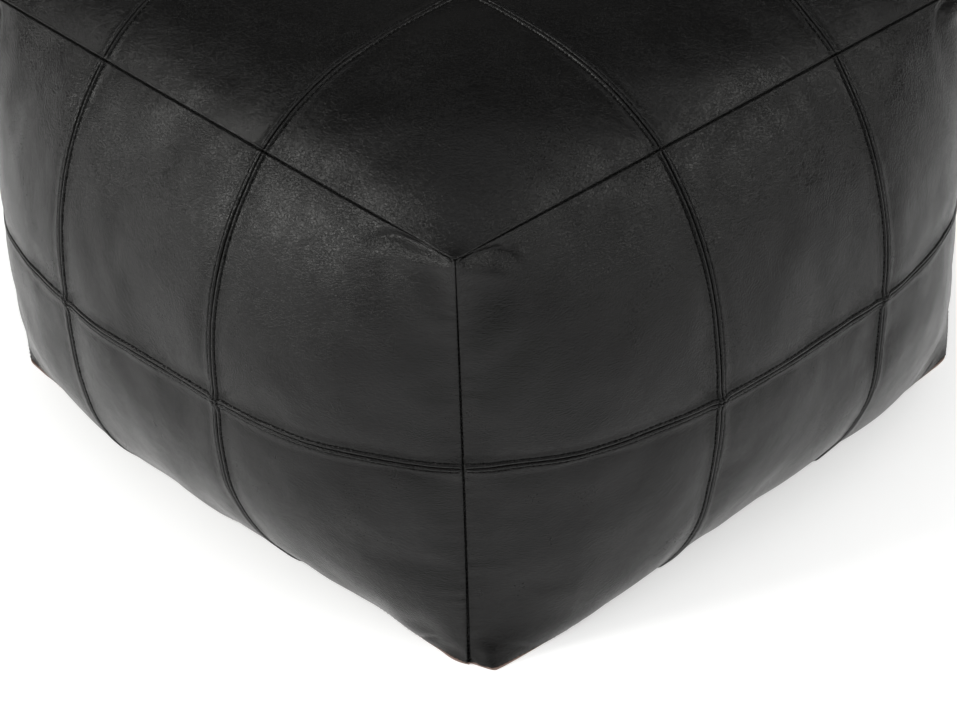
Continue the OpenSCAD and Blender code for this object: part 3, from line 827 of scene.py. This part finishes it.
# ------------------------------------------------------------------ materials
class Mat:
    """A small helper to write node materials."""

    def __init__(self, name):
        self.m = bpy.data.materials.new(name)
        self.m.use_nodes = True
        self.t = self.m.node_tree
        self.t.nodes.clear()
        self.out = self.t.nodes.new("ShaderNodeOutputMaterial")
        self.b = self.t.nodes.new("ShaderNodeBsdfPrincipled")
        self.t.links.new(self.b.outputs[0], self.out.inputs[0])
        self.co = self.t.nodes.new("ShaderNodeTexCoord").outputs["Object"]

    def link(self, a, b):
        self.t.links.new(a, b)

    def put(self, sock, v):
        if hasattr(v, "is_linked") or isinstance(v, bpy.types.NodeSocket):
            self.link(v, sock)
        else:
            sock.default_value = v

    def noise(self, scale, detail=2.0, rough=0.5, co=None, distortion=0.0):
        n = self.t.nodes.new("ShaderNodeTexNoise")
        self.link(co or self.co, n.inputs["Vector"])
        n.inputs["Scale"].default_value = scale
        n.inputs["Detail"].default_value = detail
        n.inputs["Roughness"].default_value = rough
        n.inputs["Distortion"].default_value = distortion
        return n.outputs["Fac"]

    def voronoi(self, scale, feature="F1", co=None, rand=1.0, smoothness=None):
        n = self.t.nodes.new("ShaderNodeTexVoronoi")
        n.feature = feature
        self.link(co or self.co, n.inputs["Vector"])
        n.inputs["Scale"].default_value = scale
        n.inputs["Randomness"].default_value = rand
        if smoothness is not None and "Smoothness" in n.inputs:
            n.inputs["Smoothness"].default_value = smoothness
        return n.outputs["Distance"]

    def math(self, op, a, b=0.0, c=0.0, clamp=False):
        n = self.t.nodes.new("ShaderNodeMath")
        n.operation = op
        n.use_clamp = clamp
        self.put(n.inputs[0], a)
        self.put(n.inputs[1], b)
        self.put(n.inputs[2], c)
        return n.outputs[0]

    def ramp(self, x, a, b, lo=0.0, hi=1.0):
        n = self.t.nodes.new("ShaderNodeMapRange")
        n.interpolation_type = "SMOOTHSTEP"
        self.put(n.inputs["Value"], x)
        for k, v in (("From Min", a), ("From Max", b), ("To Min", lo), ("To Max", hi)):
            self.put(n.inputs[k], v)
        return n.outputs["Result"]

    def mix(self, f, a, b):
        n = self.t.nodes.new("ShaderNodeMix")
        n.data_type = "RGBA"
        self.put(n.inputs[0], f)
        self.put(n.inputs[6], a)
        self.put(n.inputs[7], b)
        return n.outputs[2]

    def scaled(self, x, y, z):
        n = self.t.nodes.new("ShaderNodeMapping")
        self.link(self.co, n.inputs["Vector"])
        n.inputs["Scale"].default_value = (x, y, z)
        return n.outputs[0]

    def warped(self, scale, amount):
        """Object coordinates pushed about by a noise, so that a pattern on them isn't regular."""
        n = self.t.nodes.new("ShaderNodeTexNoise")
        self.link(self.co, n.inputs["Vector"])
        n.inputs["Scale"].default_value = scale
        n.inputs["Detail"].default_value = 1
        v = self.t.nodes.new("ShaderNodeVectorMath")
        v.operation = "MULTIPLY_ADD"
        self.link(n.outputs["Color"], v.inputs[0])
        v.inputs[1].default_value = (amount,) * 3
        self.link(self.co, v.inputs[2])
        return v.outputs[0]

    def bump(self, height, distance, strength=1.0, normal=None):
        n = self.t.nodes.new("ShaderNodeBump")
        n.inputs["Strength"].default_value = strength
        n.inputs["Distance"].default_value = distance
        self.link(height, n.inputs["Height"])
        if normal is not None:
            self.link(normal, n.inputs["Normal"])
        return n.outputs[0]

    def set(self, **kw):
        for k, v in kw.items():
            self.put(self.b.inputs[k.replace("_", " ")], v)
        return self


def leather_black():
    k = Mat("black_leather")
    info = k.t.nodes.new("ShaderNodeObjectInfo")
    hide = info.outputs["Random"]
    w = k.warped(220, 0.0012)
    cells = k.voronoi(930, "F1", w)                                # pebbles of about 1 mm
    small = k.voronoi(1750, "F1", w)
    creases = k.voronoi(380, "DISTANCE_TO_EDGE", k.warped(110, 0.006))
    fine = k.noise(3000, 2, 0.6)
    cloud = k.noise(9, 3, 0.55)
    patch = k.noise(38, 3, 0.6)
    streak = k.noise(1.0, 3, 0.55, k.scaled(60, 60, 14))
    pebble = k.ramp(cells, 0.05, 0.66, 1.0, 0.0)
    grit = k.ramp(small, 0.05, 0.66, 1.0, 0.0)
    crease = k.ramp(creases, 0.0, 0.09, 0.0, 1.0)
    depth = k.math("MULTIPLY_ADD", k.ramp(patch, 0.35, 0.7, 0.0, 1.0), 0.6, 0.6)
    h = k.math("MULTIPLY", k.math("MULTIPLY_ADD", grit, 0.45, pebble), depth)
    h = k.math("MULTIPLY_ADD", crease, 0.45, h)
    h = k.math("MULTIPLY_ADD", fine, 0.25, h)
    n1 = k.bump(h, 0.00016, 1.0)
    n2 = k.bump(k.math("MULTIPLY_ADD", patch, 0.5, k.noise(150, 2, 0.5)), 0.0005, 0.25, n1)
    tone = k.math("MULTIPLY_ADD", k.math("SUBTRACT", cloud, 0.5), 0.55, 1.0)
    tone = k.math("MULTIPLY", tone, k.math("MULTIPLY_ADD", hide, 0.16, 0.92))
    # the grain's hollows are painted darker and its pebble tops lighter: painted shade of the grain
    tone = k.math("MULTIPLY", tone, k.math("MULTIPLY_ADD", pebble, 0.95, 0.42))
    col = k.mix(k.math("MULTIPLY", tone, 0.5, clamp=True), (0.0004, 0.0004, 0.0005, 1), (0.0080, 0.0078, 0.0075, 1))
    scuff = k.math("MULTIPLY", k.ramp(k.noise(420, 3, 0.65), 0.66, 0.74, 0.0, 1.0), k.ramp(k.noise(14, 2, 0.5), 0.56, 0.70, 0.0, 1.0))
    col = k.mix(k.math("MULTIPLY", scuff, 0.30), col, (0.070, 0.064, 0.058, 1))
    # dark specks in pitted patches: painted shade of small pits, which also have a rougher finish
    pitted_patch = k.ramp(k.noise(17, 2, 0.5), 0.60, 0.70, 0.0, 1.0)
    pits = k.math("MULTIPLY", k.ramp(k.noise(760, 2, 0.6), 0.60, 0.66, 0.0, 1.0), pitted_patch)
    col = k.mix(k.math("MULTIPLY", pits, 0.8), col, (0.0004, 0.0004, 0.0004, 1))
    rough = k.math("MULTIPLY_ADD", k.math("SUBTRACT", streak, 0.5), 0.09, 0.25)
    rough = k.math("MULTIPLY_ADD", k.math("SUBTRACT", patch, 0.5), 0.05, rough)
    rough = k.math("MULTIPLY_ADD", k.math("ADD", scuff, pits), 0.14, rough)
    k.set(Base_Color=col, Roughness=rough, Normal=n2)
    k.b.inputs["Specular IOR Level"].default_value = 0.20
    k.b.inputs["Sheen Weight"].default_value = 0.01
    k.b.inputs["Sheen Roughness"].default_value = 0.45
    k.b.inputs["Sheen Tint"].default_value = (1.0, 0.95, 0.88, 1)
    return k.m


def leather_tan():
    k = Mat("base_leather")
    cells = k.voronoi(900, "F1", k.warped(200, 0.0015))
    cloud = k.noise(14, 3, 0.55)
    fibre = k.noise(1500, 3, 0.6)
    col = k.mix(k.ramp(cloud, 0.3, 0.7), (0.12, 0.075, 0.060, 1), (0.19, 0.125, 0.102, 1))
    col = k.mix(k.math("MULTIPLY", fibre, 0.25), col, (0.26, 0.185, 0.155, 1))
    rough = k.math("MULTIPLY_ADD", cloud, 0.2, 0.60)
    k.set(Base_Color=col, Roughness=rough, Normal=k.bump(k.math("MULTIPLY_ADD", fibre, 0.6, cells), 0.00012, 0.5))
    return k.m


def thread():
    k = Mat("topstitch_thread")
    twist = k.t.nodes.new("ShaderNodeTexWave")
    twist.wave_type = "BANDS"
    twist.bands_direction = "DIAGONAL"
    k.link(k.co, twist.inputs["Vector"])
    twist.inputs["Scale"].default_value = 700
    twist.inputs["Distortion"].default_value = 1.5
    f = twist.outputs["Fac"]
    col = k.mix(f, (0.001, 0.001, 0.001, 1), (0.005, 0.005, 0.0048, 1))
    k.set(Base_Color=col, Roughness=k.math("MULTIPLY_ADD", f, 0.1, 0.55), Normal=k.bump(f, 0.00008, 0.6))
    k.b.inputs["Specular IOR Level"].default_value = 0.12
    return k.m


def cloth(name, dark, light, scale, rough=0.85):
    """A plain weave: warp and weft bands that pass over and under."""
    k = Mat(name)
    bands = []
    for axis in ("X", "Y"):
        n = k.t.nodes.new("ShaderNodeTexWave")
        n.bands_direction = axis
        k.link(k.co, n.inputs["Vector"])
        n.inputs["Scale"].default_value = scale
        n.inputs["Distortion"].default_value = 0.4
        n.inputs["Detail"].default_value = 1
        bands.append(n.outputs["Fac"])
    weave = k.math("MAXIMUM", bands[0], bands[1])
    cloud = k.noise(40, 3, 0.6)
    col = k.mix(k.math("MULTIPLY_ADD", cloud, 0.3, k.math("MULTIPLY", weave, 0.7)), dark, light)
    k.set(Base_Color=col, Roughness=k.math("MULTIPLY_ADD", cloud, 0.1, rough - 0.05), Normal=k.bump(weave, 0.00012, 0.7))
    return k.m


def fibre(name, dark, light):
    k = Mat(name)
    strands = k.noise(1.0, 4, 0.7, k.scaled(900, 260, 260), 1.2)
    tufts = k.noise(45, 4, 0.65)
    col = k.mix(k.math("MULTIPLY_ADD", tufts, 0.5, k.math("MULTIPLY", strands, 0.5)), dark, light)
    k.set(Base_Color=col, Roughness=k.math("MULTIPLY_ADD", strands, 0.1, 0.88), Normal=k.bump(k.math("ADD", strands, tufts), 0.0006, 0.6))
    return k.m


def nylon():
    k = Mat("zip_coil")
    n = k.noise(900, 2, 0.5)
    k.set(Base_Color=k.mix(n, (0.012, 0.012, 0.012, 1), (0.045, 0.044, 0.043, 1)), Roughness=k.math("MULTIPLY_ADD", n, 0.16, 0.30), Normal=k.bump(n, 0.00004, 0.4))
    return k.m


def metal():
    k = Mat("zip_metal")
    n = k.noise(260, 3, 0.6)
    s = k.noise(1.0, 2, 0.6, k.scaled(220, 2600, 2600))
    k.set(Base_Color=k.mix(n, (0.36, 0.345, 0.32, 1), (0.60, 0.58, 0.54, 1)), Roughness=k.math("MULTIPLY_ADD", s, 0.20, 0.24), Normal=k.bump(s, 0.00003, 0.5))
    k.b.inputs["Metallic"].default_value = 1.0
    return k.m


def floor_paper():
    k = Mat("studio_floor")
    n = k.noise(30, 3, 0.5)
    k.set(Base_Color=k.mix(n, (0.90, 0.90, 0.90, 1), (0.93, 0.93, 0.93, 1)), Roughness=k.math("MULTIPLY_ADD", n, 0.05, 0.90))
    k.b.inputs["Specular IOR Level"].default_value = 0.1
    k.b.inputs["Emission Color"].default_value = (1, 1, 1, 1)      # a table lit faintly from below
    k.b.inputs["Emission Strength"].default_value = 0.42
    return k.m


def paint(ob, mat):
    ob.data.materials.clear()
    ob.data.materials.append(mat)
    return ob


# ------------------------------------------------------------------ put it together
D, ring_ids, top_ids, base_ids = simulate()
FIELDS = panel_fields(D, ring_ids, top_ids)
for key in FIELDS:
    FIELDS[key] = FIELDS[key] * (0.25 if key[0] == "top" else 0.4)
PANELS, PANEL_OBJECTS = build_panels(FIELDS)

M_BLACK, M_TAN, M_THREAD = leather_black(), leather_tan(), thread()
M_TAPE = cloth("zip_tape", (0.010, 0.010, 0.010, 1), (0.032, 0.031, 0.030, 1), 1500)
M_LINER = cloth("liner_cloth", (0.56, 0.52, 0.44, 1), (0.78, 0.75, 0.68, 1), 900)
M_FIBRE = fibre("stuffing_fibre", (0.60, 0.58, 0.54, 1), (0.88, 0.87, 0.84, 1))
M_COIL, M_METAL = nylon(), metal()


def finish_piece(ob, mat, node=None, body="cover"):
    paint(ob, mat)
    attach(ob, body)
    if node:
        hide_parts(node)
    return ob


stuffing = finish_piece(cup_mesh("stuffing_fill", 10.0, 9.4, True, 0, closed=True), M_FIBRE, "stuffing")
liner_top = finish_piece(cup_mesh("liner_upper_cloth", 7.4, 7.4, True, 0.9), M_LINER, "liner_upper")
liner_low = finish_piece(cup_mesh("liner_lower_cloth", 7.4, 7.4, False, 0.9), M_LINER, "liner_lower")

for name, ob in PANEL_OBJECTS.items():
    ob.name = name + "_leather"
    finish_piece(ob, M_BLACK, name)
    flat_size(PANELS[name])

for sign, nm in ((-1, "front"), (1, "back")):
    ob = finish_piece(base_half(f"base_{nm}_leather", sign), M_TAN, f"base_{nm}")
    ob = finish_piece(zip_tape(f"zip_tape_{nm}_weave", sign), M_TAPE, f"zip_tape_{nm}")
    finish_piece(zip_coil(f"zip_coil_{nm}_teeth", sign), M_COIL, f"zip_coil_{nm}")

groups = {"top": [p for p in PANELS.values() if p.kind == "top"]}
for f, nm in enumerate(("front", "right", "back", "left")):
    groups[nm] = [p for p in PANELS.values() if p.kind == "side" and p.face == f]
for nm, ps in groups.items():
    lines = [stitch_rows(p, k) for p in ps for k in range(4) if p.inner[k]]
    ob = tubes(f"topstitch_{nm}_thread", np.concatenate(lines), [0.26, 0.40, 0.43, 0.40, 0.26], 6)
    finish_piece(ob, M_THREAD, f"topstitch_{nm}")

bars = tubes("edge_seam_thread", seam_bars(PANELS), [0.16, 0.24, 0.26, 0.24, 0.16], 6)
finish_piece(bars, M_THREAD)

for n in ("zip_slider", "zip_pull", "zip_top_stops", "zip_bottom_stop"):
    paint(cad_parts[n], M_METAL)

# ------------------------------------------------------------------ studio
bpy.ops.mesh.primitive_plane_add(size=14, location=(0, 0, -0.0003))
floor = bpy.context.object
floor.name = "studio_floor"
paint(floor, floor_paper())


def softbox(name, direction, distance, size, energy, aim=(0, 0, 0.15), colour=(1, 1, 1), spread=180):
    d = Vector(direction).normalized()
    data = bpy.data.lights.new(name, "AREA")
    data.shape = "RECTANGLE"
    data.size, data.size_y = size
    data.energy = energy
    data.color = colour
    data.spread = math.radians(spread)
    ob = bpy.data.objects.new(name, data)
    bpy.context.scene.collection.objects.link(ob)
    ob.location = Vector(aim) + d * distance
    ob.rotation_euler = (-d).to_track_quat("-Z", "Y").to_euler()
    return ob


softbox("overhead_bank", (0.30, -0.25, 0.95), 2.5, (3.0, 3.0), 34)
softbox("left_box", (-0.47, -0.75, 0.56), 5.0, (3.1, 1.55), 125, colour=(1.0, 0.995, 0.965))
softbox("left_spot", (-0.36, -0.90, 0.28), 5.0, (1.35, 0.9), 90, colour=(1.0, 0.995, 0.965))
softbox("right_box", (0.66, 0.52, 0.55), 4.5, (2.3, 1.4), 62, colour=(1.0, 0.995, 0.965))
softbox("corner_box", (0.95, 0.26, 0.21), 4.5, (1.1, 0.75), 26, colour=(1.0, 0.995, 0.965))

world = bpy.data.worlds.new("studio")
bpy.context.scene.world = world
world.use_nodes = True
world.node_tree.nodes["Background"].inputs[0].default_value = (1, 1, 1, 1)
world.node_tree.nodes["Background"].inputs[1].default_value = 0.10
bpy.context.scene.view_settings.view_transform = "Standard"

# the camera, at the viewing angle fitted to the seams
yaw, pit, roll, W = math.radians(47.844), math.radians(35.736), math.radians(-1.803), PW * MM
level = Vector((-math.sin(yaw), math.cos(yaw), 0))
right = Vector((math.cos(yaw), math.sin(yaw), 0))
fwd = math.cos(pit) * level + Vector((0, 0, -math.sin(pit)))
up = math.sin(pit) * level + Vector((0, 0, math.cos(pit)))
r2 = math.cos(roll) * right + math.sin(roll) * up
u2 = -math.sin(roll) * right + math.cos(roll) * up
spot = Vector((HALF * MM, -HALF * MM, SIDE_H * MM / 2)) - fwd * (11.1166 * W) + right * (0.0739 * W) + up * (0.4384 * W)
cam_data = bpy.data.cameras.new("camera")
cam_data.lens = 2913.04 / 957 * 36
cam_data.sensor_width = 36
cam_data.clip_end = 50
cam = bpy.data.objects.new("camera", cam_data)
bpy.context.scene.collection.objects.link(cam)
m = Matrix((r2, u2, -fwd)).transposed().to_4x4()
m.translation = spot
cam.matrix_world = m
bpy.context.scene.camera = cam
